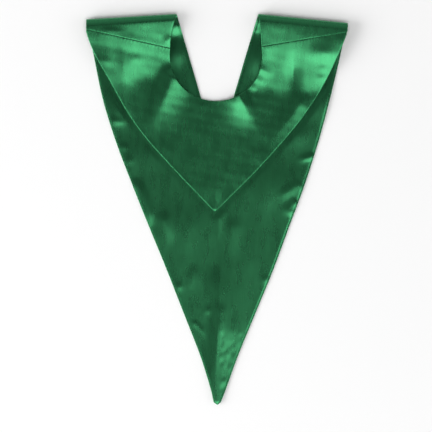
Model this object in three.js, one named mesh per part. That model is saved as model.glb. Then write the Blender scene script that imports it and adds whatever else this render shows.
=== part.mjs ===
// A choir stole laid flat: the long front panel lies face down with its satin lining up, the shoulders fold
// over in a soft roll, and the short back panel lies on top, sewn to the front along two sloping seams.
// Millimetres. X runs across the shoulders, Y from the front point to the shoulders, Z up from the table.
import * as THREE from "three";
import { mergeGeometries, mergeVertices } from "three/addons/utils/BufferGeometryUtils.js";

// Driving sizes. "down" is always the distance below the shoulder fold's top, along the table.
const FRONT_LENGTH = 914; // shoulder fold to the front point
const BACK_LENGTH = 461; // shoulder fold to the back point
const HALF_WIDTH = 305; // middle to the outer end of each shoulder
const V_DEPTH = 328; // shoulder fold to the bottom of the front's V neckline
const LAYER = 1.0; // one layer of interlined satin
const GAP = 0.3; // between pieces that touch
const PANEL = 2 * LAYER + GAP; // a bagged-out panel: two layers and what parts them
const REST_CLEARANCE = 0.4; // between the lining and the back panel that lies on it
const REST_TOP = 2 * PANEL + REST_CLEARANCE; // upper face of the back panel where it lies flat

// The shoulder roll in section: a flattened nose at the fold, a rounded crest, then an even slope that eases
// out where the upper cloth comes to rest.
const ROLL = { reach: 18, height: 22, axis: 9.5, crestEase: 9 };

// Each side's own sizes, as the stole lies: the fold and the seam both slope down from neck to shoulder end.
// The slope starts at crestNeck behind the fold near the neck and at crestOuter towards the shoulder's end,
// changes between them from crestFrom over crestOver, and has its own steepness at both. footEase is how long
// it bends where it ends.
const SIDES = [
  {
    name: "left", sign: -1, foldNeck: 95.5, foldDrop: 12.5, seamNeck: 80, seamOuter: 36,
    crestNeck: 7, crestOuter: 24, crestFrom: 120, crestOver: 170,
    slopeNeck: 0.12, slopeOuter: 0.125, footEase: 22,
  },
  {
    name: "right", sign: 1, foldNeck: 97.5, foldDrop: 21, seamNeck: 76, seamOuter: 43,
    crestNeck: 19, crestOuter: 51, crestFrom: 180, crestOver: 90,
    slopeNeck: 0.112, slopeOuter: 0.14, footEase: 15,
  },
];

// The round neckline is an arc: its middle and radius.
const SCOOP = { x: -2.3, down: 96, radius: 109 };

// How far the front panel's edges lie from the middle.
const FRONT_EDGE = [
  { down: 0, left: 307, right: 308 },
  { down: 100, left: 287, right: 287 },
  { down: 200, left: 266, right: 263 },
  { down: 300, left: 235, right: 236 },
  { down: 400, left: 197, right: 204 },
  { down: 500, left: 157, right: 167 },
  { down: 600, left: 116, right: 130 },
  { down: 700, left: 77, right: 89 },
  { down: 800, left: 38, right: 48 },
  { down: 880, left: 13, right: 19 },
  { down: 908, left: 7, right: 8 },
];

// How far the back panel's edges lie from the middle, from the shoulder seam's outer end to the point.
const BACK_EDGE = [
  { down: 0, left: 305, right: 305 },
  { down: 25, left: 305, right: 305 },
  { down: 45, left: 304, right: 303 },
  { down: 90, left: 287, right: 285 },
  { down: 130, left: 265, right: 267 },
  { down: 170, left: 242, right: 246 },
  { down: 210, left: 220, right: 221 },
  { down: 250, left: 195, right: 193 },
  { down: 290, left: 165, right: 160 },
  { down: 330, left: 130, right: 125 },
  { down: 370, left: 93, right: 88 },
  { down: 410, left: 55, right: 48 },
  { down: 440, left: 26, right: 18 },
  { down: 456, left: 11, right: 1 },
];
// The points, and where their last straight row across lies, just short of the blunt tip.
const FRONT_POINT = { x: 1, down: FRONT_LENGTH, lastRow: 908 };
const BACK_POINT = { x: -5, down: BACK_LENGTH, lastRow: 456 };

// A table's rows as objects with its columns' names.
function asRows(columns, rows) {
  return rows.map((row) => Object.fromEntries(columns.map((name, i) => [name, row[i]])));
}

// Creases are soft ridges that run down from (x, down) to (toX, toDown). plus and minus are two thirds of the
// flanks' widths on the +X and the -X side. The ends die away over fadeIn and fadeOut, shares of the length.
// A height below zero makes a trough.
const CREASE_COLUMNS = ["x", "down", "toX", "toDown", "height", "plus", "minus", "fadeIn", "fadeOut"];
const CREST = 10; // rounding of a crease's crest
const FLANK_EASE = 0.3; // rounding of its flanks' feet
const BACK_CREASES = asRows(CREASE_COLUMNS, [
  [-92, 118, -160, 288, 6.8, 26, 20, 0.2, 0.8], // from the neckline's left
  [38, 168, 94, 282, 6.3, 16, 33, 0.1, 0.85], // from the neckline's right
  [-236, 74, -210, 190, 1.7, 18, 14, 0.3, 0.6], // left shoulder
  [178, 84, 168, 194, -2.1, 14, 14, 0.4, 0.5], // valley down the right shoulder
  [214, 184, 114, 318, 1.4, 18, 20, 0.2, 0.5], // inside the right edge
]);
const FRONT_CREASES = asRows(CREASE_COLUMNS, [
  [-202, 382, -156, 506, 1.8, 14, 14, 0.2, 0.3], // left edge
  [-133, 460, -98, 545, 1.3, 16, 14, 0.3, 0.8], // left slant
  [198, 395, 136, 434, 1.3, 14, 14, 0.1, 0.5], // right slant
  [-1, 560, -4, 914, 3.3, 30, 22, 0.55, 0.45], // pressed crease towards the point
  [9, 672, 4, 830, 1.4, 28, 26, 0.35, 0.65], // where it starts
  [-4, 786, -5, 916, 1.6, 14, 12, 0.4, 0.1], // its end
]);

// Swellings: middle (x, down), half the width and the length, turned by degrees, and height.
const SWELL_COLUMNS = ["x", "down", "across", "lengthwise", "turn", "height"];
const BACK_SWELLS = asRows(SWELL_COLUMNS, [
  [-255, 186, 70, 85, 8, 5.6], // the left shoulder stands off what lies under it
  [-268, 106, 30, 26, 14, 0.9],
  [240, 91, 48, 17, 9, 0.8], // right shoulder
  [46, 190, 30, 40, -24, 4], // under the neckline
]);
const FRONT_SWELLS = asRows(SWELL_COLUMNS, [
  [-222, 214, 40, 42, 0, 2.6], // under the left shoulder's edge
  [256, 206, 40, 48, 0, 2.8], // under the right shoulder's edge
  [-176, 330, 38, 34, 0, 1.1],
  [188, 284, 36, 28, 0, 1.2],
  [152, 404, 60, 46, -10, 1.5],
  [-84, 492, 60, 44, 0, 1],
  [-18, 876, 22, 78, 4, 2.6], // left of the pressed crease, by the point
]);

const SATIN = { color: 0x1f7a45, roughness: 0.38, metalness: 0.35, side: THREE.DoubleSide };
const LINING = { color: 0x1c6f40, roughness: 0.42, metalness: 0.3, side: THREE.DoubleSide };

const mix = (a, b, t) => a + (b - a) * t;
const clamp = (t) => Math.min(1, Math.max(0, t));
const smooth = (t) => clamp(t) ** 2 * (3 - 2 * clamp(t));

// Zero below and u above, with a bend between them that is about reach wide.
const ease = (u, reach) => (u + Math.hypot(u, reach)) / 2;

// A smooth line through one column of a table, read at a distance down.
function along(table, column, down) {
  const last = table.length - 1;
  const at = Math.min(last - 1, Math.max(0, table.findIndex((row) => row.down > down) - 1));
  const i = down >= table[last].down ? last - 1 : at;
  const slope = (k) => {
    const a = table[Math.max(0, k - 1)];
    const b = table[Math.min(last, k + 1)];
    return (b[column] - a[column]) / (b.down - a.down);
  };
  const span = table[i + 1].down - table[i].down;
  const t = clamp((down - table[i].down) / span);
  const rise = 2 * t ** 3 - 3 * t ** 2 + 1;
  return (
    rise * table[i][column] +
    (t ** 3 - 2 * t ** 2 + t) * span * slope(i) +
    (1 - rise) * table[i + 1][column] +
    (t ** 3 - t ** 2) * span * slope(i + 1)
  );
}

// The shoulder fold's own distance down at a place across the stole.
function foldDown(x) {
  const side = SIDES[x < 0 ? 0 : 1];
  return side.foldDrop * clamp((Math.abs(x) - side.foldNeck) / (HALF_WIDTH - side.foldNeck));
}

// The height that a list of creases adds at a point.
function creaseHeight(creases, x, down) {
  let total = 0;
  for (const f of creases) {
    const runX = f.toX - f.x;
    const runDown = f.toDown - f.down;
    const length = Math.hypot(runX, runDown);
    const t = ((x - f.x) * runX + (down - f.down) * runDown) / length ** 2;
    const off = ((x - f.x) * runDown - (down - f.down) * runX) / length;
    const width = 1.5 * (off > 0 ? f.plus : f.minus);
    const flank = ease(1 - (Math.hypot(off, CREST) - CREST) / width, FLANK_EASE) / ease(1, FLANK_EASE);
    total += f.height * flank * smooth(t / f.fadeIn) * smooth((1 - t) / f.fadeOut);
  }
  return total;
}

// The height that a list of swellings adds at a point.
function swellHeight(swells, x, down) {
  let total = 0;
  for (const s of swells) {
    const turn = THREE.MathUtils.degToRad(s.turn);
    const u = ((x - s.x) * Math.cos(turn) + (down - s.down) * Math.sin(turn)) / s.across;
    const v = ((down - s.down) * Math.cos(turn) - (x - s.x) * Math.sin(turn)) / s.lengthwise;
    total += s.height * Math.exp(-u * u - v * v);
  }
  return total;
}

// How far the upper cloth has come down from the roll's top at a distance behind the fold.
function slopeDrop(x, behindFold) {
  const HALF_BLEND = 40; // the sides' own sizes blend into each other this far either side of the middle
  const [left, right] = SIDES;
  const towardsRight = smooth((x + HALF_BLEND) / (2 * HALF_BLEND));
  const own = (name) => mix(left[name], right[name], towardsRight);
  const outer = smooth((Math.abs(x) - own("crestFrom")) / own("crestOver"));
  const start = mix(own("crestNeck"), own("crestOuter"), outer);
  const slope = mix(own("slopeNeck"), own("slopeOuter"), outer);
  const end = start + (ROLL.height - REST_TOP) / slope;
  return slope * (ease(behindFold - start, ROLL.crestEase) - ease(behindFold - end, own("footEase")));
}

// Height of the upper layer's outer face, behind the roll.
function upperHeight(x, down) {
  const FOLD_START = 25; // creases grow over this distance behind the roll
  const behindFold = down - foldDown(x);
  const creases = creaseHeight(BACK_CREASES, x, down) + swellHeight(BACK_SWELLS, x, down);
  return ROLL.height - slopeDrop(x, behindFold) + creases * smooth((behindFold - ROLL.reach) / FOLD_START);
}

// How far a plan point lies outside the back panel's outline, below zero under it.
function outsideBack(x, down) {
  const side = SIDES[x < 0 ? 0 : 1];
  if (down > BACK_LENGTH) return Math.hypot(x - BACK_POINT.x, down - BACK_LENGTH);
  return Math.abs(x) - along(BACK_EDGE, side.name, down);
}

// How far the leg on the table is lifted off it. Only what the back panel leaves bare is creased.
function tableHeight(x, down) {
  const CLEAR = 10; // creases start this far outside the back panel
  const GROW = 25; // and are at their full height this much farther out
  const creases = creaseHeight(FRONT_CREASES, x, down) + swellHeight(FRONT_SWELLS, x, down);
  return creases * smooth((outsideBack(x, down) - CLEAR) / GROW);
}

// A plan point (x, down) at height z, in the part's frame: the origin is under the middle of the length.
const place = (x, down, z) => new THREE.Vector3(x, FRONT_LENGTH / 2 - down, z);

// Plan points of the edges.
const vNeck = (side, down) => ({ x: side.sign * side.foldNeck * (1 - down / V_DEPTH), down });
const frontOuter = (side, down) => ({ x: side.sign * along(FRONT_EDGE, side.name, down), down });
const backOuter = (side, down) => ({ x: side.sign * along(BACK_EDGE, side.name, down), down });

// The middle of the front panel, between its two edges.
function frontMiddle(down) {
  const [left, right] = SIDES.map((side) => frontOuter(side, down).x);
  return { x: (left + right) / 2, down };
}

// The round neckline at an angle below its middle.
function scoop(side, angle) {
  return {
    x: SCOOP.x + side.sign * SCOOP.radius * Math.cos(angle),
    down: SCOOP.down + SCOOP.radius * Math.sin(angle),
  };
}
const seamAngle = (side) => Math.asin((side.seamNeck - SCOOP.down) / SCOOP.radius);

// The upper layer's neck edge between the fold and the shoulder seam.
function upperNeck(side, down) {
  const fold = side.sign * side.foldNeck;
  const seam = scoop(side, seamAngle(side));
  return { x: mix(fold, seam.x, Math.sin((clamp(down / side.seamNeck) * Math.PI) / 2)), down };
}

// A row of points between a neck (or middle) point and an outer point. height gives z from the plan point.
function row(inner, outer, columns, height) {
  return Array.from({ length: columns + 1 }, (_, i) => {
    const x = mix(inner.x, outer.x, i / columns);
    const down = mix(inner.down, outer.down, i / columns);
    return place(x, down, height(x, down));
  });
}

// Rows of one half of the front panel, from its point, up the table, round the roll and back to the seam.
function frontRows(side, columns, steps) {
  const rows = [];
  const TOWARDS_POINT = 0.9; // rows lie a little closer together near the V than near the point
  for (let i = 0; i < steps.body; i++) {
    const down = mix(FRONT_POINT.lastRow, V_DEPTH, (i / steps.body) ** TOWARDS_POINT);
    rows.push(row(frontMiddle(down), frontOuter(side, down), columns, tableHeight));
  }
  const foldEnd = side.foldDrop;
  for (let i = 0; i < steps.strap; i++) {
    const t = i / steps.strap;
    const inner = vNeck(side, mix(V_DEPTH, ROLL.reach, t));
    if (i === 0) inner.x = frontMiddle(V_DEPTH).x;
    const outer = frontOuter(side, mix(V_DEPTH, foldEnd + ROLL.reach, t));
    rows.push(row(inner, outer, columns, tableHeight));
  }
  for (let i = 0; i <= steps.roll; i++) {
    const angle = mix(-Math.PI / 2, Math.PI / 2, i / steps.roll);
    const q = ROLL.reach * (1 - Math.cos(angle));
    const over = angle > 0;
    const half = over ? ROLL.height - ROLL.axis : ROLL.axis;
    const z = ROLL.axis + half * Math.sin(angle);
    const inner = over ? upperNeck(side, q) : vNeck(side, q);
    const outer = over ? backOuter(side, foldEnd + q) : frontOuter(side, foldEnd + q);
    rows.push(row(inner, outer, columns, (x) => z - (over ? slopeDrop(x, q) : 0)));
  }
  for (let i = 1; i <= steps.top; i++) {
    const t = i / steps.top;
    const end = GAP / 2;
    const inner = upperNeck(side, mix(ROLL.reach, side.seamNeck - end, t));
    const outer = backOuter(side, mix(foldEnd + ROLL.reach, side.seamOuter - end, t));
    rows.push(row(inner, outer, columns, upperHeight));
  }
  return rows;
}

// Rows of one half of the back panel, from the shoulder seam down to its point.
function backRows(side, columns, steps) {
  const rows = [];
  const BELOW_SCOOP = 232; // where the row from the neckline's bottom meets the outer edge
  for (let i = 0; i < steps.strap; i++) {
    const t = i / steps.strap;
    const inner = scoop(side, mix(seamAngle(side), Math.PI / 2, t));
    const outer = backOuter(side, mix(side.seamOuter, BELOW_SCOOP, t));
    if (i === 0) {
      inner.down += GAP / 2;
      outer.down += GAP / 2;
    }
    rows.push(row(inner, outer, columns, upperHeight));
  }
  for (let i = 0; i <= steps.body; i++) {
    const t = i / steps.body;
    const down = mix(SCOOP.down + SCOOP.radius, BACK_POINT.lastRow, t);
    const middle = { x: mix(SCOOP.x, BACK_POINT.x, t), down };
    const outer = backOuter(side, mix(BELOW_SCOOP, BACK_POINT.lastRow, t));
    rows.push(row(middle, outer, columns, upperHeight));
  }
  return rows;
}

// One open surface from the two halves' rows. tip closes the point with a fan, at the first or the last row.
function openSurface(halves, tip, tipAtStart) {
  const sheets = halves.map((rows, half) => {
    const columns = rows[0].length;
    const points = rows.flat();
    const faces = [];
    const face = (a, b, c) => faces.push(...(half === 0 ? [a, c, b] : [a, b, c]));
    for (let r = 0; r + 1 < rows.length; r++) {
      for (let c = 0; c + 1 < columns; c++) {
        const a = r * columns + c;
        face(a, a + columns, a + 1);
        face(a + 1, a + columns, a + columns + 1);
      }
    }
    points.push(tip);
    const edge = tipAtStart ? 0 : (rows.length - 1) * columns;
    for (let c = 0; c + 1 < columns; c++) {
      if (tipAtStart) face(points.length - 1, edge + c, edge + c + 1);
      else face(edge + c, points.length - 1, edge + c + 1);
    }
    const sheet = new THREE.BufferGeometry().setFromPoints(points);
    return sheet.setIndex(faces);
  });
  const joined = mergeVertices(mergeGeometries(sheets), 1e-3);
  joined.computeVertexNormals();
  return joined;
}

// A closed wall between two depths under an open surface's outer face.
function wall(surface, outerDepth, innerDepth) {
  const position = surface.attributes.position;
  const normal = surface.attributes.normal;
  const count = position.count;
  const points = new Float32Array(count * 6);
  for (let i = 0; i < count; i++) {
    const p = new THREE.Vector3().fromBufferAttribute(position, i);
    const n = new THREE.Vector3().fromBufferAttribute(normal, i);
    p.clone().addScaledVector(n, -outerDepth).toArray(points, i * 3);
    p.clone().addScaledVector(n, -innerDepth).toArray(points, (count + i) * 3);
  }
  const index = surface.index.array;
  const faces = [];
  const edges = new Set();
  for (let i = 0; i < index.length; i += 3) {
    const [a, b, c] = index.slice(i, i + 3);
    faces.push(a, b, c, count + a, count + c, count + b);
    for (const [from, to] of [[a, b], [b, c], [c, a]]) edges.add(`${from} ${to}`);
  }
  for (const edge of edges) {
    const [from, to] = edge.split(" ").map(Number);
    if (edges.has(`${to} ${from}`)) continue;
    faces.push(to, from, count + from, to, count + from, count + to);
  }
  const solid = new THREE.BufferGeometry();
  solid.setAttribute("position", new THREE.BufferAttribute(points, 3));
  solid.setIndex(faces);
  solid.computeVertexNormals();
  return solid;
}

function piece(name, geometry, finish) {
  const mesh = new THREE.Mesh(geometry, new THREE.MeshStandardMaterial(finish));
  mesh.name = name;
  return mesh;
}

// Rows and columns of each half's mesh.
const FRONT_STEPS = { body: 18, strap: 8, roll: 10, top: 4 };
const BACK_STEPS = { strap: 12, body: 13 };
const FRONT_COLUMNS = 10;
const BACK_COLUMNS = 16;

const front = openSurface(
  SIDES.map((side) => frontRows(side, FRONT_COLUMNS, FRONT_STEPS)),
  place(FRONT_POINT.x, FRONT_POINT.down, tableHeight(FRONT_POINT.x, FRONT_POINT.down)),
  true,
);
const back = openSurface(
  SIDES.map((side) => backRows(side, BACK_COLUMNS, BACK_STEPS)),
  place(BACK_POINT.x, BACK_POINT.down, REST_TOP),
  false,
);

const stole = new THREE.Group();
stole.name = "choir_stole";
stole.add(piece("front_panel", wall(front, 0, LAYER), SATIN));
stole.add(piece("front_lining", wall(front, LAYER + GAP, PANEL), LINING));
stole.add(piece("back_panel", wall(back, 0, PANEL), SATIN));

export default stole;
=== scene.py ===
"""A choir stole of green satin, laid flat and seen from straight above.

The long front panel lies face down with its lining up. Its shoulders fold over in a soft roll, and the short
back panel, sewn on along two sloping seams, lies on top. Tables are in millimetres; "down" is the distance
below the top of the shoulder fold, along the table. place() turns them into the frame's metres.
"""

import bpy
import numpy as np
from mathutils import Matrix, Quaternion, Vector, kdtree


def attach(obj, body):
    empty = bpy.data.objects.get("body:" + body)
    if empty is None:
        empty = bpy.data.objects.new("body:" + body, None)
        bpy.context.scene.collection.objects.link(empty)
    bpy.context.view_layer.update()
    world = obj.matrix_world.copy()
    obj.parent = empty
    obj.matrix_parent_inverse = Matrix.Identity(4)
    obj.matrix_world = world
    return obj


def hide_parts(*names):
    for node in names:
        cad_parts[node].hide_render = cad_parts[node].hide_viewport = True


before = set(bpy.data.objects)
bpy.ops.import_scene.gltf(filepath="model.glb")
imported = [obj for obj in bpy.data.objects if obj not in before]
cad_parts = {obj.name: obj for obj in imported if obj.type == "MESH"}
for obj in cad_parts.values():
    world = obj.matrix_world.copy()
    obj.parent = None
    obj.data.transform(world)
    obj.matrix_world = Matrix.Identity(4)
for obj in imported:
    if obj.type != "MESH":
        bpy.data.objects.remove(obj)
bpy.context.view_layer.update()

MM = 0.001

# The photograph's frame: it is FRAME_PIXELS square, and one of its pixels is PIXEL millimetres. The frame's
# x = 0 is at its pixel column ORIGIN_COLUMN, and the top of the shoulder fold at its row FOLD_ROW.
PIXEL = 2.34
FRAME_PIXELS = 432
ORIGIN_COLUMN = 217
FOLD_ROW = 14
FRAME_MIDDLE = ((FRAME_PIXELS / 2 - ORIGIN_COLUMN) * PIXEL, (FRAME_PIXELS / 2 - FOLD_ROW) * PIXEL)

# Driving sizes, as in the part, but the shoulder seams' gap is closed up to where the sheets only just clear.
FRONT_LENGTH = 914.0
BACK_LENGTH = 461.0
HALF_WIDTH = 305.0
V_DEPTH = 328.0
LAYER = 1.0
GAP = 0.3
SEAM_GAP = 0.06

# A panel is two layers of cloth. REST_TOP is the height of the back's face where it rests on the front.
PANEL = 2 * LAYER + GAP
REST_GAP = 0.4
REST_TOP = 2 * PANEL + REST_GAP

# The shoulder roll in section, as distances behind the fold: a nose up to ROLL_REACH, a rounded crest, then
# an even slope that eases out where the upper cloth comes to rest.
ROLL_REACH = 18.0
ROLL_HEIGHT = 22.0
ROLL_AXIS = 9.5
CREST_EASE = 11.0

# Each side's own sizes. The slope behind the fold starts at crest_neck near the neck and at crest_outer
# towards the shoulder's end, changes between them from crest_from over crest_over, and has its own steepness
# at both. foot_ease is how long it bends where it ends. edge_column is the side's column in the edge tables.
LEFT = {
    "edge_column": 1, "sign": -1, "fold_neck": 95.5, "fold_drop": 12.5, "seam_neck": 80.0, "seam_outer": 36.0,
    "crest_neck": 8.0, "crest_outer": 24.0, "crest_from": 120.0, "crest_over": 170.0,
    "slope_neck": 0.123, "slope_outer": 0.125, "foot_ease": 16.0,
}
RIGHT = {
    "edge_column": 2, "sign": 1, "fold_neck": 97.5, "fold_drop": 21.0, "seam_neck": 76.0, "seam_outer": 43.0,
    "crest_neck": 24.0, "crest_outer": 49.0, "crest_from": 180.0, "crest_over": 90.0,
    "slope_neck": 0.11, "slope_outer": 0.145, "foot_ease": 10.0,
}
SIDES = (LEFT, RIGHT)

# The back's round neckline, a part of a circle.
SCOOP_X = -2.3
SCOOP_DOWN = 96.0
SCOOP_RADIUS = 109.0

# Columns: down, and how far the left and the right edge lie from the middle.
FRONT_EDGE = np.array([
    (0, 307, 308),
    (100, 287, 287),
    (200, 266, 263),
    (300, 235, 236),
    (400, 197, 204),
    (500, 157, 167),
    (600, 116, 130),
    (700, 77, 89),
    (800, 38, 48),
    (880, 13, 19),
    (908, 7, 8),
], float)
BACK_EDGE = np.array([
    (0, 305, 305),
    (25, 305, 305),
    (45, 304, 303),
    (90, 287, 285),
    (130, 265, 267),
    (170, 242, 246),
    (210, 220, 221),
    (250, 195, 193),
    (290, 165, 160),
    (330, 130, 125),
    (370, 93, 88),
    (410, 55, 48),
    (440, 26, 18),
    (456, 11, 1),
], float)
FRONT_POINT = (1.0, FRONT_LENGTH)
BACK_POINT = (-5.0, BACK_LENGTH)
FRONT_LAST_ROW = FRONT_EDGE[-1, 0]
BACK_LAST_ROW = BACK_EDGE[-1, 0]

# How finely each half is divided. EDGE_COLUMNS are the distances from an edge of its two closest columns.
EDGE_COLUMNS = np.array([0.4, 1.2])
FRONT_COLUMNS = 66
FRONT_ROWS = {"body": 170, "strap": 80, "roll": 32, "top": 34}
BACK_COLUMNS = 112
BACK_ROWS = {"strap": 100, "body": 84}

# Creases of the cloth: soft ridges that run from (x, down) to (to_x, to_down), bowed sideways by bend. On a
# crease that runs down, the flank on the +X side is FLANK_SHARE times plus wide and the other one FLANK_SHARE
# times minus. crest says how round the top is and FLANK_EASE how round the foot. fade_in and fade_out are the
# shares of its length over which it rises and dies away. A height below zero makes a trough.
FLANK_EASE = 0.3
FLANK_SHARE = 1.5
CREASE_COLUMNS = (
    "x", "down", "to_x", "to_down", "height", "plus", "minus", "crest", "fade_in", "fade_out", "bend",
)
BACK_CREASES = [
    # left shoulder
    (-92, 118, -160, 288, 6.8, 28, 17, 8, 0.2, 0.8, 0),
    (-232, 40, -204, 196, 1.9, 16, 10, 3, 0.6, 0.5, 0),
    (-284, 104, -234, 121, 0.4, 8, 8, 3, 0.3, 0.6, 0),
    (-128, 68, -106, 58, 0.8, 7, 7, 2, 0.6, 0.05, 0),
    # right shoulder
    (38, 168, 94, 282, 5.6, 12, 33, 6, 0.1, 0.85, 0),
    (178, 80, 180, 200, -2.6, 14, 12, 1.5, 0.45, 0.55, 0),
    (230, 58, 104, 83, 0.6, 15, 15, 5, 0.2, 0.1, 0),
    (96, 126, 136, 146, 1.1, 7, 8, 2, 0.1, 0.8, 0),
    (88, 147, 118, 167, 0.45, 6, 6, 2, 0.1, 0.6, 0),
    (76, 163, 94, 182, 0.6, 5, 5, 2, 0.1, 0.6, 0),
    # inside the right edge
    (214, 184, 114, 318, 1.4, 14, 20, 4, 0.2, 0.5, 0),
]
FRONT_CREASES = [
    # left edge, from the shoulder down
    (-248, 249, -208, 255, 0.8, 6, 7, 2, 0.1, 0.6, 0),
    (-228, 311, -203, 314, 0.7, 6, 6, 2, 0.1, 0.6, 0),
    (-202, 382, -156, 506, 1.8, 10, 13, 2, 0.2, 0.3, 12),
    (-133, 460, -98, 545, 1.3, 12, 10, 2, 0.3, 0.8, 0),
    # right edge, from the shoulder down
    (226, 333, 182, 344, 1.2, 6, 6, 1.5, 0.02, 0.7, 0),
    (198, 395, 136, 434, 0.8, 10, 9, 2, 0.1, 0.5, 0),
    (188, 438, 150, 468, 0.9, 8, 8, 2, 0.1, 0.5, 0),
    # long soft creases down the middle
    (4, 458, 6, 540, 1.0, 12, 6, 2, 0.1, 0.85, 0),
    (37, 470, 36, 580, 1.0, 16, 9, 3, 0.3, 0.7, 0),
    (-10, 584, -13, 710, 1.2, 18, 10, 3, 0.4, 0.6, 0),
    (-54, 580, -60, 670, 0.8, 14, 9, 3, 0.4, 0.6, 0),
    # the pressed crease towards the point, and what runs into it
    (9, 540, -4, 890, 3.5, 40, 12, 1.2, 0.6, 0.42, 0),
    (9, 672, 8, 768, 0.7, 9, 8, 1.0, 0.3, 0.5, 0),
    (-60, 718, -24, 762, 0.6, 5, 5, 1.0, 0.2, 0.5, 5),
]

# Swellings of the cloth: middle (x, down), half the width and half the length, turned by degrees, and height.
BACK_SWELLS = [
    # left shoulder
    (-264, 184, 60, 84, 2, 5.2),
    (-272, 106, 24, 20, 14, 0.4),
    (-248, 35, 26, 9, 9, 1.5),
    (-194, 108, 18, 12, 0, 0.6),
    (-232, 58, 44, 15, 9, 0.8),
    (-190, 75, 46, 14, 8, 0.3),
    (-278, 148, 34, 46, 4, 2.0),
    # right shoulder
    (252, 94, 44, 20, 6, 2.3),
    (188, 206, 20, 30, 0, 1.4),
    (250, 128, 11, 8, 0, 0.4),
    (246, 150, 12, 8, 0, 0.4),
    # under the neckline
    (46, 190, 30, 40, -24, 4.0),
    # towards the point
    (88, 330, 18, 16, 0, 0.4),
    (-20, 400, 26, 30, 0, 0.4),
]
FRONT_SWELLS = [
    (-222, 214, 40, 42, 0, 2.6),
    (256, 206, 40, 48, 0, 2.2),
    (-205, 343, 9, 9, 0, 0.6),
    (-176, 330, 38, 34, 0, 1.1),
    (-84, 492, 60, 44, 0, 1.0),
    (188, 284, 36, 28, 0, 1.2),
    (152, 404, 60, 46, -10, 1.5),
    (171, 464, 9, 8, 0, 0.7),
    (113, 622, 9, 9, 0, 0.6),
    (-89, 638, 9, 9, 0, 0.6),
    (-20, 694, 9, 9, 0, 0.5),
    (36, 744, 26, 30, 0, 0.7),
    (24, 796, 9, 8, 0, 0.2),
    (14, 858, 9, 8, 0, 0.3),
    (-8, 914, 28, 112, 0, 4.6),
]
# On the table leg inside the neck, beside the upper layer's neck edge.
NECK_SWELLS = [
    (-101, 33, 14, 14, 0, 1.4),
    (-94, 92, 20, 27, 0, 2.4),
    (84, 106, 18, 36, 0, 2.4),
    (90, 38, 12, 5, 0, 0.5),
]

# Faint waves all over each panel: height, wavelengths across and down, and the seed of their random draw.
BACK_WAVES = [
    (0.2, 80, 80, 4),
    (0.07, 30, 30, 9),
]
FRONT_WAVES = [
    (0.22, 60, 190, 2),
    (0.04, 30, 60, 7),
]
POINT_DENTS = [
    (0.1, 17, 26, 12),
]


def smooth(t):
    """A soft step from 0 to 1."""
    t = np.clip(t, 0, 1)
    return t * t * (3 - 2 * t)


def ease(u, reach):
    """Zero below and u above, with a bend between them that is about reach wide."""
    return (u + np.hypot(u, reach)) / 2


def along(table, column, down):
    """A smooth line through one column of a table, read at distances down."""
    xs, ys = table[:, 0], table[:, column]
    slope = np.empty_like(ys)
    slope[1:-1] = (ys[2:] - ys[:-2]) / (xs[2:] - xs[:-2])
    slope[0] = (ys[1] - ys[0]) / (xs[1] - xs[0])
    slope[-1] = (ys[-1] - ys[-2]) / (xs[-1] - xs[-2])
    down = np.asarray(down, float)
    i = np.clip(np.searchsorted(xs, down, side="right") - 1, 0, len(xs) - 2)
    span = xs[i + 1] - xs[i]
    t = np.clip((down - xs[i]) / span, 0, 1)
    rise = 2 * t**3 - 3 * t**2 + 1
    start = (t**3 - 2 * t**2 + t) * span * slope[i]
    end = (t**3 - t**2) * span * slope[i + 1]
    return rise * ys[i] + start + (1 - rise) * ys[i + 1] + end


def fold_down(x):
    """The shoulder fold's own distance down at a place across the stole."""
    drops = [s["fold_drop"] * np.clip((np.abs(x) - s["fold_neck"]) / (HALF_WIDTH - s["fold_neck"]), 0, 1)
             for s in SIDES]
    return np.where(x < 0, drops[0], drops[1])


def crease_height(creases, x, down):
    total = np.zeros_like(x)
    for row in creases:
        f = dict(zip(CREASE_COLUMNS, row))
        run_x, run_down = f["to_x"] - f["x"], f["to_down"] - f["down"]
        length = np.hypot(run_x, run_down)
        t = ((x - f["x"]) * run_x + (down - f["down"]) * run_down) / length**2
        off = ((x - f["x"]) * run_down - (down - f["down"]) * run_x) / length
        inside = np.clip(t, 0, 1)
        off = off - f["bend"] * 4 * inside * (1 - inside)
        width = np.where(off > 0, f["plus"], f["minus"])
        across = (np.hypot(off, f["crest"]) - f["crest"]) / (FLANK_SHARE * width)
        flank = ease(1 - across, FLANK_EASE) / ease(1, FLANK_EASE)
        total += f["height"] * flank * smooth(t / f["fade_in"]) * smooth((1 - t) / f["fade_out"])
    return total


def swell_height(swells, x, down):
    total = np.zeros_like(x)
    for middle_x, middle_down, across, lengthwise, turn, height in swells:
        c, s = np.cos(np.radians(turn)), np.sin(np.radians(turn))
        u = ((x - middle_x) * c + (down - middle_down) * s) / across
        v = ((down - middle_down) * c - (x - middle_x) * s) / lengthwise
        total += height * np.exp(-(u**2) - v**2)
    return total


def ripple(x, down, wave_x, wave_down, seed):
    """Faint waves that cross each other at random, mostly between -1 and 1."""
    random = np.random.default_rng(seed)
    waves = 10
    total = np.zeros_like(x)
    for _ in range(waves):
        turn, start = random.uniform(0, 2 * np.pi, 2)
        size = 2 * np.pi * random.uniform(0.7, 1.5)
        total += np.sin(size * (x * np.cos(turn) / wave_x + down * np.sin(turn) / wave_down) + start)
    return total / np.sqrt(2 * waves)


def wave_height(rows, x, down):
    return sum(height * ripple(x, down, wave_x, wave_down, seed) for height, wave_x, wave_down, seed in rows)


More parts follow.
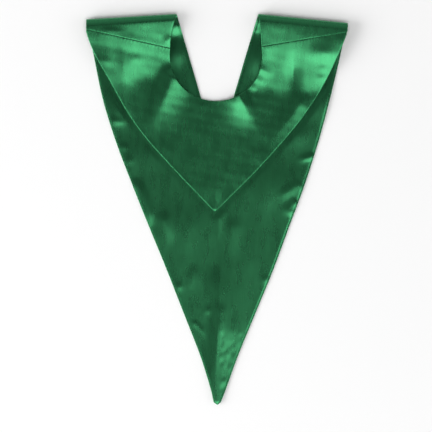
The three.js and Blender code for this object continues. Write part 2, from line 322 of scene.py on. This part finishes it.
def slope_drop(x, behind_fold):
    """How far the upper cloth has come down from the roll's top."""
    half_blend = 40.0
    right = smooth((x + half_blend) / (2 * half_blend))
    own = {name: LEFT[name] + (RIGHT[name] - LEFT[name]) * right for name in LEFT}
    outer = smooth((np.abs(x) - own["crest_from"]) / own["crest_over"])
    start = own["crest_neck"] + (own["crest_outer"] - own["crest_neck"]) * outer
    slope = own["slope_neck"] + (own["slope_outer"] - own["slope_neck"]) * outer
    end = start + (ROLL_HEIGHT - REST_TOP) / slope
    return slope * (ease(behind_fold - start, CREST_EASE) - ease(behind_fold - end, own["foot_ease"]))


def seam_offset(x, down):
    """How far a plan point lies below its side's shoulder seam, and how far along the seam."""
    below, run = [], []
    for side in SIDES:
        start = scoop(side, np.array([seam_angle(side)]))[0]
        end = edge(BACK_EDGE, side, np.array([side["seam_outer"]]))[0]
        step = (end - start) / np.linalg.norm(end - start)
        run.append((x - start[0]) * step[0] + (down - start[1]) * step[1])
        below.append(side["sign"] * ((down - start[1]) * step[0] - (x - start[0]) * step[1]))
    return np.where(x < 0, below[0], below[1]), np.where(x < 0, run[0], run[1])


def pucker(x, down):
    """Fine puckers where the shoulder seams are stitched, unevenly spaced and unevenly strong."""
    height, pitch, reach, fade = 0.14, 8.0, 7.0, 8.0
    below, run = seam_offset(x, down)
    wander = 2.2 * np.sin(run / 21)
    strength = 0.6 + 0.4 * np.sin(run / 13)
    wave = np.sin(2 * np.pi * run / pitch + wander) * strength
    return height * wave * np.exp(-((below / reach) ** 2)) * smooth(run / fade)


def upper_height(x, down):
    """Height of the upper layer's outer face, behind the roll."""
    fade = 25.0
    behind_fold = down - fold_down(x)
    creases = crease_height(BACK_CREASES, x, down) + swell_height(BACK_SWELLS, x, down)
    waves = wave_height(BACK_WAVES, x, down)
    start = smooth((behind_fold - ROLL_REACH) / fade)
    return ROLL_HEIGHT - slope_drop(x, behind_fold) + (creases + waves + pucker(x, down)) * start


def outside_back(x, down):
    """How far a plan point lies outside the back panel's outline, below zero under it."""
    left, right = (along(BACK_EDGE, side["edge_column"], down) for side in SIDES)
    beside = np.abs(x) - np.where(x < 0, left, right)
    below = np.hypot(x - BACK_POINT[0], down - BACK_LENGTH)
    return np.where(down > BACK_LENGTH, below, beside)


def table_height(x, down):
    """How far the leg on the table is lifted off it. Only what the back panel leaves bare is creased."""
    margin, fade = 4.0, 18.0
    slack = 0.3
    touch_bend = 0.3
    bare = smooth((outside_back(x, down) - margin) / fade)
    creases = crease_height(FRONT_CREASES, x, down) + swell_height(FRONT_SWELLS, x, down)
    waves = wave_height(FRONT_WAVES, x, down)
    lift = bare * (creases + waves + crumple(x, down) + slack)
    lift += swell_height(NECK_SWELLS, x, down) + neck_curl(x, down)
    return ease(lift, touch_bend) - ease(0, touch_bend)


def crumple(x, down):
    """Small dents beside the pressed crease, in the right half of the point."""
    first_down, fade_down, fade_x = 715.0, 50.0, 10.0
    dents = wave_height(POINT_DENTS, x, down)
    return dents * smooth((down - first_down) / fade_down) * smooth(x / fade_x)


def neck_curl(x, down):
    """The table leg still curls up a little as it leaves the roll beside the neck."""
    height, spread = 4.4, 22.0
    left_top, right_top = 21.0, 14.0
    ends_at, fade = 130.0, 30.0
    top = np.where(x < 0, left_top, right_top)
    beside_neck = smooth((ends_at - np.abs(x)) / fade)
    return height * beside_neck * smooth(down / top) * np.exp(-((np.maximum(down - top, 0) / spread) ** 2))


def grid_between(inner, outer, columns, inset_in=0.0, inset_out=0.0):
    """Rows of plan points from each inner to each outer point, set in from the ends by the insets. A short
    row keeps its insets and its columns beside the edges to a share of its length."""
    most_inset, most_close = 0.4, 0.1
    length = np.hypot(*(outer - inner).T)[:, None]
    start = np.minimum(np.broadcast_to(inset_in, len(inner))[:, None] / length, most_inset)
    end = 1 - np.minimum(inset_out / length, most_inset)
    close = np.minimum(EDGE_COLUMNS / length, most_close)
    even = np.linspace(0, 1, columns + 1 - 2 * len(EDGE_COLUMNS))[None, 1:-1]
    even = close[:, -1:] + (1 - 2 * close[:, -1:]) * even
    ends = np.zeros_like(length)
    spread = np.concatenate([ends, close, even, 1 - close[:, ::-1], ends + 1], 1)
    t = start + (end - start) * spread
    return inner[:, None, :] + t[:, :, None] * (outer - inner)[:, None, :]


def v_neck(side, down):
    """The front's V neckline."""
    return np.stack([side["sign"] * side["fold_neck"] * (1 - down / V_DEPTH), down], 1)


def edge(table, side, down):
    """One side's outline, from a table of edges."""
    return np.stack([side["sign"] * along(table, side["edge_column"], down), down], 1)


def front_middle(down):
    """The line down the middle of the front, where its halves join."""
    return np.stack([(edge(FRONT_EDGE, LEFT, down) + edge(FRONT_EDGE, RIGHT, down))[:, 0] / 2, down], 1)


def scoop(side, angle):
    """The round neckline's edge, by the angle below its middle's level."""
    return np.stack([
        SCOOP_X + side["sign"] * SCOOP_RADIUS * np.cos(angle),
        SCOOP_DOWN + SCOOP_RADIUS * np.sin(angle),
    ], 1)


def seam_angle(side):
    """Where the shoulder seam meets the round neckline."""
    return np.arcsin((side["seam_neck"] - SCOOP_DOWN) / SCOOP_RADIUS)


def upper_neck(side, down):
    """The upper layer's neck edge between the fold and the shoulder seam."""
    fold = side["sign"] * side["fold_neck"]
    seam = scoop(side, np.array([seam_angle(side)]))[0, 0]
    turn = np.sin(np.clip(down / side["seam_neck"], 0, 1) * np.pi / 2)
    return np.stack([fold + (seam - fold) * turn, down], 1)


def place(plan, height):
    """Plan points (x, down) at a height, in the frame's metres."""
    return np.stack([plan[..., 0], FRONT_LENGTH / 2 - plan[..., 1], height], -1) * MM


def front_half(side, inset):
    """Rows of one half of the front, from its point, up the table, round the roll and back to the seam."""
    n = FRONT_ROWS
    crowding = 0.8
    fold = side["fold_drop"]
    body = np.linspace(FRONT_LAST_ROW, V_DEPTH, n["body"], endpoint=False)
    strap_in = np.linspace(V_DEPTH, ROLL_REACH, n["strap"], endpoint=False)
    strap_out = np.linspace(V_DEPTH, fold + ROLL_REACH, n["strap"], endpoint=False)
    angle = np.linspace(-np.pi / 2, np.pi / 2, n["roll"] + 1)
    q = ROLL_REACH * (1 - np.cos(angle))
    over = angle > 0
    upper = over[:, None]
    roll_in = np.where(upper, upper_neck(side, q), v_neck(side, q))
    roll_out = np.where(upper, edge(BACK_EDGE, side, fold + q), edge(FRONT_EDGE, side, fold + q))
    radius = np.where(over, ROLL_HEIGHT - ROLL_AXIS, ROLL_AXIS)
    roll_height = ROLL_AXIS + radius * np.sin(angle)
    near_seam = np.linspace(0, 1, n["top"] + 1)[1:] ** crowding
    top_in = ROLL_REACH + (side["seam_neck"] - SEAM_GAP / 2 - ROLL_REACH) * near_seam
    top_out = fold + ROLL_REACH + (side["seam_outer"] - SEAM_GAP / 2 - fold - ROLL_REACH) * near_seam

    strap_inner = v_neck(side, strap_in)
    strap_inner[0] = front_middle(strap_in[:1])[0]
    inner = np.concatenate([front_middle(body), strap_inner, roll_in, upper_neck(side, top_in)])
    outer = np.concatenate([
        edge(FRONT_EDGE, side, body),
        edge(FRONT_EDGE, side, strap_out),
        roll_out,
        edge(BACK_EDGE, side, top_out),
    ])
    joined = n["body"] + 1
    inset_in = np.concatenate([np.zeros(joined), np.full(len(inner) - joined, inset)])
    plan = grid_between(inner, outer, FRONT_COLUMNS, inset_in, inset)

    first_roll = n["body"] + n["strap"]
    first_top = first_roll + len(angle)
    table, roll, top = plan[:first_roll], plan[first_roll:first_top], plan[first_top:]
    drop = slope_drop(roll[..., 0], q[:, None])
    turned = np.where(upper, -drop, neck_curl(roll[..., 0], roll[..., 1]))
    height = np.concatenate([
        table_height(table[..., 0], table[..., 1]),
        roll_height[:, None] + turned,
        upper_height(top[..., 0], top[..., 1]),
    ])
    return place(plan, height)


def back_half(side):
    """Rows of one half of the back panel, from the shoulder seam down to its point."""
    n = BACK_ROWS
    below_scoop = 232.0
    crowding = 1.25
    from_seam = np.linspace(0, 1, n["strap"], endpoint=False) ** crowding
    strap_in = scoop(side, seam_angle(side) + (np.pi / 2 - seam_angle(side)) * from_seam)
    strap_out = edge(BACK_EDGE, side, side["seam_outer"] + (below_scoop - side["seam_outer"]) * from_seam)
    strap_in[0, 1] += SEAM_GAP / 2
    strap_out[0, 1] += SEAM_GAP / 2
    t = np.linspace(0, 1, n["body"] + 1)
    middle_start = SCOOP_DOWN + SCOOP_RADIUS
    middle = np.stack([
        SCOOP_X + (BACK_POINT[0] - SCOOP_X) * t,
        middle_start + (BACK_LAST_ROW - middle_start) * t,
    ], 1)
    body_out = edge(BACK_EDGE, side, below_scoop + (BACK_LAST_ROW - below_scoop) * t)
    inner, outer = np.concatenate([strap_in, middle]), np.concatenate([strap_out, body_out])
    plan = grid_between(inner, outer, BACK_COLUMNS)
    return place(plan, upper_height(plan[..., 0], plan[..., 1]))


def open_surface(halves, tip, tip_first):
    """Points, faces and cloth coordinates of both halves, joined down the middle and closed at the point."""
    points, faces, cloth = [], [], []
    count = 0
    decimals = 6
    for half, rows in enumerate(halves):
        r, c = rows.shape[:2]
        index = count + np.arange(r * c).reshape(r, c)
        quads = np.stack([index[:-1, :-1], index[1:, :-1], index[1:, 1:], index[:-1, 1:]], -1).reshape(-1, 4)
        end = index[0] if tip_first else index[-1]
        tip_index = count + r * c
        fan = np.stack([np.full(c - 1, tip_index), end[:-1], end[1:]], -1)
        fan = fan if tip_first else fan[:, ::-1]
        is_left = half == 0
        faces += [tuple(f[::-1]) if is_left else tuple(f) for f in quads.tolist() + fan.tolist()]
        # The warp is measured along the cloth, from the front point or from the shoulder fold.
        steps = np.linalg.norm(np.diff(rows[..., 1:], axis=0), axis=2)
        first = np.abs(rows[:1, :, 1] + (0.5 if tip_first else -0.5) * FRONT_LENGTH * MM)
        run = first + np.concatenate([np.zeros((1, c)), np.cumsum(steps, axis=0)])
        tip_run = 0.0 if tip_first else run.max()
        points += [rows.reshape(-1, 3), np.array([tip])]
        cloth += [np.stack([rows[..., 0], run], -1).reshape(-1, 2), np.array([(tip[0], tip_run)])]
        count += r * c + 1
    points, cloth = np.concatenate(points), np.concatenate(cloth)
    _, keep, where = np.unique(np.round(points, decimals), axis=0, return_index=True, return_inverse=True)
    where = where.reshape(-1)
    joined = [tuple(dict.fromkeys(int(where[i]) for i in f)) for f in faces]
    return points[keep], [f for f in joined if len(f) > 2], cloth[keep]


def vertex_normals(points, faces):
    """Each point's normal, from the triangles and quads around it by their areas."""
    total = np.zeros_like(points)
    for size in (3, 4):
        group = np.array([f for f in faces if len(f) == size])
        if not len(group):
            continue
        p = points[group]
        last = size - 1
        second_from = 1 if size == 4 else 0
        normal = np.cross(p[:, last - 1] - p[:, 0], p[:, last] - p[:, second_from])
        for k in range(size):
            np.add.at(total, group[:, k], normal)
    return total / np.linalg.norm(total, axis=1, keepdims=True)


def boundary_edges(faces):
    """The edges that only one face uses, in the order of the faces."""
    seen = dict.fromkeys((a, b) for f in faces for a, b in zip(f, f[1:] + f[:1]))
    return [e for e in seen if (e[1], e[0]) not in seen]


def edge_distance(points, rim):
    """Distance to the rim in millimetres, and 1 where the nearest rim is a shoulder seam, else 0."""
    seam_reach = 1.0
    tree = kdtree.KDTree(len(rim))
    for i, v in enumerate(rim):
        tree.insert(Vector(points[v]), i)
    tree.balance()
    found = [tree.find(Vector(p)) for p in points]
    rim_points = points[rim]
    x, down = rim_points[:, 0] / MM, FRONT_LENGTH / 2 - rim_points[:, 1] / MM
    below, _ = seam_offset(x, down)
    is_seam = (np.abs(below) < seam_reach) & (rim_points[:, 2] / MM > REST_TOP)
    return np.array([f[2] for f in found]) / MM, is_seam[[f[1] for f in found]].astype(float)


def wall(name, surface, outer_depth, inner_depth):
    """A closed sheet of cloth under an open surface, with a half-round edge. Depths are functions of the
    distance from the edge and of whether that edge is a seam, in millimetres."""
    points, faces, cloth = surface
    normals = vertex_normals(points, faces)
    rim_edges = boundary_edges(faces)
    rim = sorted({v for e in rim_edges for v in e})
    distance, seam = edge_distance(points, rim)
    outer = points - normals * (outer_depth(distance, seam) * MM)[:, None]
    inner = points - normals * (inner_depth(distance, seam) * MM)[:, None]
    count = len(points)

    outward = np.zeros_like(points)
    for a, b in rim_edges:
        out = np.cross(points[b] - points[a], normals[a])
        outward[a] += out
        outward[b] += out
    length = np.linalg.norm(outward, axis=1, keepdims=True)
    outward = outward / np.where(length > 0, length, 1)

    rim_steps = 6
    seam_share = 0.05
    vertices = [outer, inner]
    rim_at = {v: i for i, v in enumerate(rim)}
    rim_id = np.array(rim)
    bulge = np.where(seam[rim_id] > 0, seam_share, 1)[:, None]
    for k in range(1, rim_steps):
        turn = np.pi * k / rim_steps
        middle = (outer[rim_id] + inner[rim_id]) / 2
        half = (outer[rim_id] - inner[rim_id]) / 2
        reach = np.linalg.norm(half, axis=1, keepdims=True) * outward[rim_id] * bulge
        vertices.append(middle + half * np.cos(turn) + reach * np.sin(turn))

    def rim_vertex(v, k):
        if k == 0:
            return v
        if k == rim_steps:
            return count + v
        return 2 * count + (k - 1) * len(rim) + rim_at[v]

    made = list(faces) + [tuple(count + v for v in f[::-1]) for f in faces]
    for a, b in rim_edges:
        for k in range(rim_steps):
            made.append((rim_vertex(b, k), rim_vertex(a, k), rim_vertex(a, k + 1), rim_vertex(b, k + 1)))
    coordinates = np.concatenate([cloth, cloth] + [cloth[rim_id]] * (rim_steps - 1))

    mesh = bpy.data.meshes.new(name)
    mesh.from_pydata(np.concatenate(vertices).tolist(), [], made)
    layer = mesh.uv_layers.new(name="cloth")
    loops = np.empty(len(mesh.loops), np.int32)
    mesh.loops.foreach_get("vertex_index", loops)
    layer.data.foreach_set("uv", coordinates[loops].astype(np.float32).ravel())
    mesh.shade_smooth()
    piece = bpy.data.objects.new(name, mesh)
    bpy.context.scene.collection.objects.link(piece)
    return piece


def thinned(distance, seam, depth, width, seam_depth=0.1):
    """How much a sheet thins towards its edge: by depth over width, or at a seam by seam_depth."""
    seam_width = 1.8
    free = depth * (1 - smooth(distance / width))
    sewn = seam_depth * (1 - smooth(distance / seam_width))
    return np.where(seam > 0, sewn, free)


def satin(name, colour, roughness):
    """Satin: tinted, stretched highlights from long warp floats, over a fine weave that follows the cloth."""
    darker, lighter = 0.93, 1.07
    unevenness = 0.02
    material = bpy.data.materials.new(name)
    material.use_nodes = True
    nodes, links = material.node_tree.nodes, material.node_tree.links
    shader = nodes["Principled BSDF"]
    shader.inputs["Metallic"].default_value = 0.86
    shader.inputs["Anisotropic"].default_value = 0.5
    shader.inputs["Sheen Weight"].default_value = 0.04

    cloth = nodes.new("ShaderNodeUVMap")
    cloth.uv_map = "cloth"
    tangent = nodes.new("ShaderNodeTangent")
    tangent.direction_type = "UV_MAP"
    tangent.uv_map = "cloth"
    links.new(tangent.outputs["Tangent"], shader.inputs["Tangent"])

    def threads(across, lengthwise, detail):
        """Noise stretched along the warp, with this many cells to the metre."""
        stretch = nodes.new("ShaderNodeMapping")
        stretch.inputs["Scale"].default_value = (across, lengthwise, 1)
        links.new(cloth.outputs["UV"], stretch.inputs["Vector"])
        noise = nodes.new("ShaderNodeTexNoise")
        noise.inputs["Scale"].default_value = 1
        noise.inputs["Detail"].default_value = detail
        links.new(stretch.outputs["Vector"], noise.inputs["Vector"])
        return noise.outputs["Fac"]

    def between(fraction, low, high):
        """Spread the noise's middle range from low to high."""
        spread = nodes.new("ShaderNodeMapRange")
        spread.inputs["From Min"].default_value = 0.3
        spread.inputs["From Max"].default_value = 0.7
        spread.inputs["To Min"].default_value = low
        spread.inputs["To Max"].default_value = high
        links.new(fraction, spread.inputs["Value"])
        return spread.outputs["Result"]

    slubs = threads(420, 26, 3)
    patches = threads(60, 18, 2)
    yarns = threads(2200, 300, 2)
    shade = nodes.new("ShaderNodeMix")
    shade.data_type = "RGBA"
    shade.inputs["A"].default_value = (*(darker * c for c in colour), 1)
    shade.inputs["B"].default_value = (*(lighter * c for c in colour), 1)
    links.new(between(slubs, 0, 1), shade.inputs["Factor"])
    links.new(shade.outputs["Result"], shader.inputs["Base Color"])
    gloss = between(patches, roughness - unevenness, roughness + unevenness)
    links.new(gloss, shader.inputs["Roughness"])

    weave = nodes.new("ShaderNodeBump")
    weave.inputs["Strength"].default_value = 0.06
    weave.inputs["Distance"].default_value = 0.0002
    links.new(yarns, weave.inputs["Height"])
    links.new(weave.outputs["Normal"], shader.inputs["Normal"])
    return material


def plain(name, colour, roughness):
    """A matt, even surface."""
    material = bpy.data.materials.new(name)
    material.use_nodes = True
    shader = material.node_tree.nodes["Principled BSDF"]
    shader.inputs["Base Color"].default_value = (*colour, 1)
    shader.inputs["Roughness"].default_value = roughness
    shader.inputs["Specular IOR Level"].default_value = 0.1
    return material


def on_table(x, down):
    """A single plan point, placed at the height of the cloth on the table."""
    plan = np.array((x, down))
    return place(plan, table_height(*plan[:, None])[0])


def build_stole():
    """The outer layer of the front, its lining inside a turned edge bead wide, and the back."""
    face = satin("satin_face", (0.031, 0.221, 0.087), 0.27)
    lining = satin("satin_lining", (0.031, 0.214, 0.085), 0.28)
    bead = 2.2
    blunting = 1.0
    front_tip = on_table(*FRONT_POINT)
    lining_tip = on_table(FRONT_POINT[0], FRONT_LENGTH - bead - blunting)
    back_tip = place(np.array(BACK_POINT), REST_TOP)
    front = open_surface([front_half(s, 0.0) for s in SIDES], front_tip, True)
    inside = open_surface([front_half(s, bead) for s in SIDES], lining_tip, True)
    back = open_surface([back_half(s) for s in SIDES], back_tip, False)

    def bead_depth(distance, seam):
        """The outer layer turns in along a free edge and stands beside the lining."""
        turn_depth, full_to, fade = 1.0, 1.2, 1.6
        turned_in = turn_depth * (1 - smooth((distance - full_to) / fade))
        return LAYER + np.where(seam > 0, 0, turned_in)

    front_panel = wall(
        "front_panel_cloth", front,
        lambda d, seam: thinned(d, seam, 0.1, 1.5),
        bead_depth,
    )
    front_lining = wall(
        "front_lining_cloth", inside,
        lambda d, seam: np.full_like(d, LAYER + GAP),
        lambda d, seam: PANEL - thinned(d, seam, 0.4, 2),
    )
    back_panel = wall(
        "back_panel_cloth", back,
        lambda d, seam: thinned(d, seam, 0.1, 0.6, 0.28),
        lambda d, seam: PANEL - thinned(d, seam, 0.1, 0.6),
    )

    for piece, node, slot, finish in (
        (front_panel, "front_panel", "satin", face),
        (front_lining, "front_lining", "satin_lining", lining),
        (back_panel, "back_panel", "satin", face),
    ):
        piece.data.materials.append(finish)
        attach(piece, "root")
        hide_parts(node)


def build_stage():
    """The pale table that the stole lies on."""
    half_size = 12.0
    below = 0.0003
    mesh = bpy.data.meshes.new("floor")
    corners = [(-1, -1), (1, -1), (1, 1), (-1, 1)]
    mesh.from_pydata([(x * half_size, y * half_size, -below) for x, y in corners], [], [(0, 1, 2, 3)])
    floor = bpy.data.objects.new("floor", mesh)
    floor.data.materials.append(plain("pale_floor", (0.92, 0.92, 0.92), 0.9))
    bpy.context.scene.collection.objects.link(floor)


def soft_light(name, tilt, turn, roll, distance, width, height, power):
    """An area light that looks at the frame's origin: tilt is off the zenith, turn is round from -Y to +X,
    and roll turns it about its own axis. Sizes are in metres and the power in watts."""
    light = bpy.data.lights.new(name, "AREA")
    light.shape = "RECTANGLE"
    light.size = width
    light.size_y = height
    light.energy = power
    obj = bpy.data.objects.new(name, light)
    tilt, turn, roll = np.radians((tilt, turn, roll))
    away = Vector((np.sin(tilt) * np.sin(turn), -np.sin(tilt) * np.cos(turn), np.cos(tilt)))
    obj.location = away * distance
    obj.rotation_mode = "QUATERNION"
    obj.rotation_quaternion = away.to_track_quat("Z", "Y") @ Quaternion((0, 0, 1), roll)
    obj.visible_camera = False
    bpy.context.scene.collection.objects.link(obj)


def build_lights():
    """A wide light beyond the front point, a weak one beyond the shoulders and a fill on each side."""
    columns = ("tilt", "turn", "roll", "distance", "width", "height", "power")
    lights = {
        "key": (22, 8, 17, 12.0, 10.0, 5.0, 620),
        "back": (42, 176, 0, 8.0, 7.0, 7.4, 46),
        "left_fill": (68, -70, 0, 9.0, 8.0, 5.0, 780),
        "right_fill": (68, 80, 0, 9.0, 8.0, 5.0, 150),
    }
    for name, values in lights.items():
        soft_light(name, **dict(zip(columns, values)))


def build_world():
    """A room that is dark overhead and pale low down, more so to the left and beyond the front point."""
    world = bpy.data.worlds.new("studio")
    bpy.context.scene.world = world
    world.use_nodes = True
    nodes, links = world.node_tree.nodes, world.node_tree.links
    direction = nodes.new("ShaderNodeTexCoord")
    split = nodes.new("ShaderNodeSeparateXYZ")
    ramp = nodes.new("ShaderNodeValToRGB")
    links.new(direction.outputs["Generated"], split.inputs["Vector"])
    links.new(split.outputs["Z"], ramp.inputs["Fac"])
    low, overhead = ramp.color_ramp.elements
    low.position = 0.3
    low.color = (0.9, 0.9, 0.9, 1)
    overhead.position = 0.85
    overhead.color = (0.03, 0.03, 0.03, 1)
    links.new(ramp.outputs["Color"], nodes["Background"].inputs["Color"])

    towards_pale = nodes.new("ShaderNodeVectorMath")
    towards_pale.operation = "DOT_PRODUCT"
    towards_pale.inputs[1].default_value = (-0.7, -0.7, 0)
    links.new(direction.outputs["Generated"], towards_pale.inputs[0])
    strength = nodes.new("ShaderNodeMapRange")
    strength.inputs["From Min"].default_value = -1
    strength.inputs["From Max"].default_value = 1
    strength.inputs["To Min"].default_value = 0.25
    strength.inputs["To Max"].default_value = 1.5
    links.new(towards_pale.outputs["Value"], strength.inputs["Value"])
    links.new(strength.outputs["Result"], nodes["Background"].inputs["Strength"])


def build_camera():
    """Straight above, framed as the photograph is."""
    distance = 14.0
    data = bpy.data.cameras.new("camera")
    data.sensor_width = 36
    data.lens = data.sensor_width * distance / (FRAME_PIXELS * PIXEL * MM)
    camera = bpy.data.objects.new("camera", data)
    x, y, _ = place(np.array(FRAME_MIDDLE), 0.0)
    camera.location = (x, y, distance)
    bpy.context.scene.collection.objects.link(camera)
    bpy.context.scene.camera = camera


build_camera()
build_stage()
build_lights()
build_world()
build_stole()

scene = bpy.context.scene
scene.view_settings.view_transform = "Standard"
scene.view_settings.look = "None"
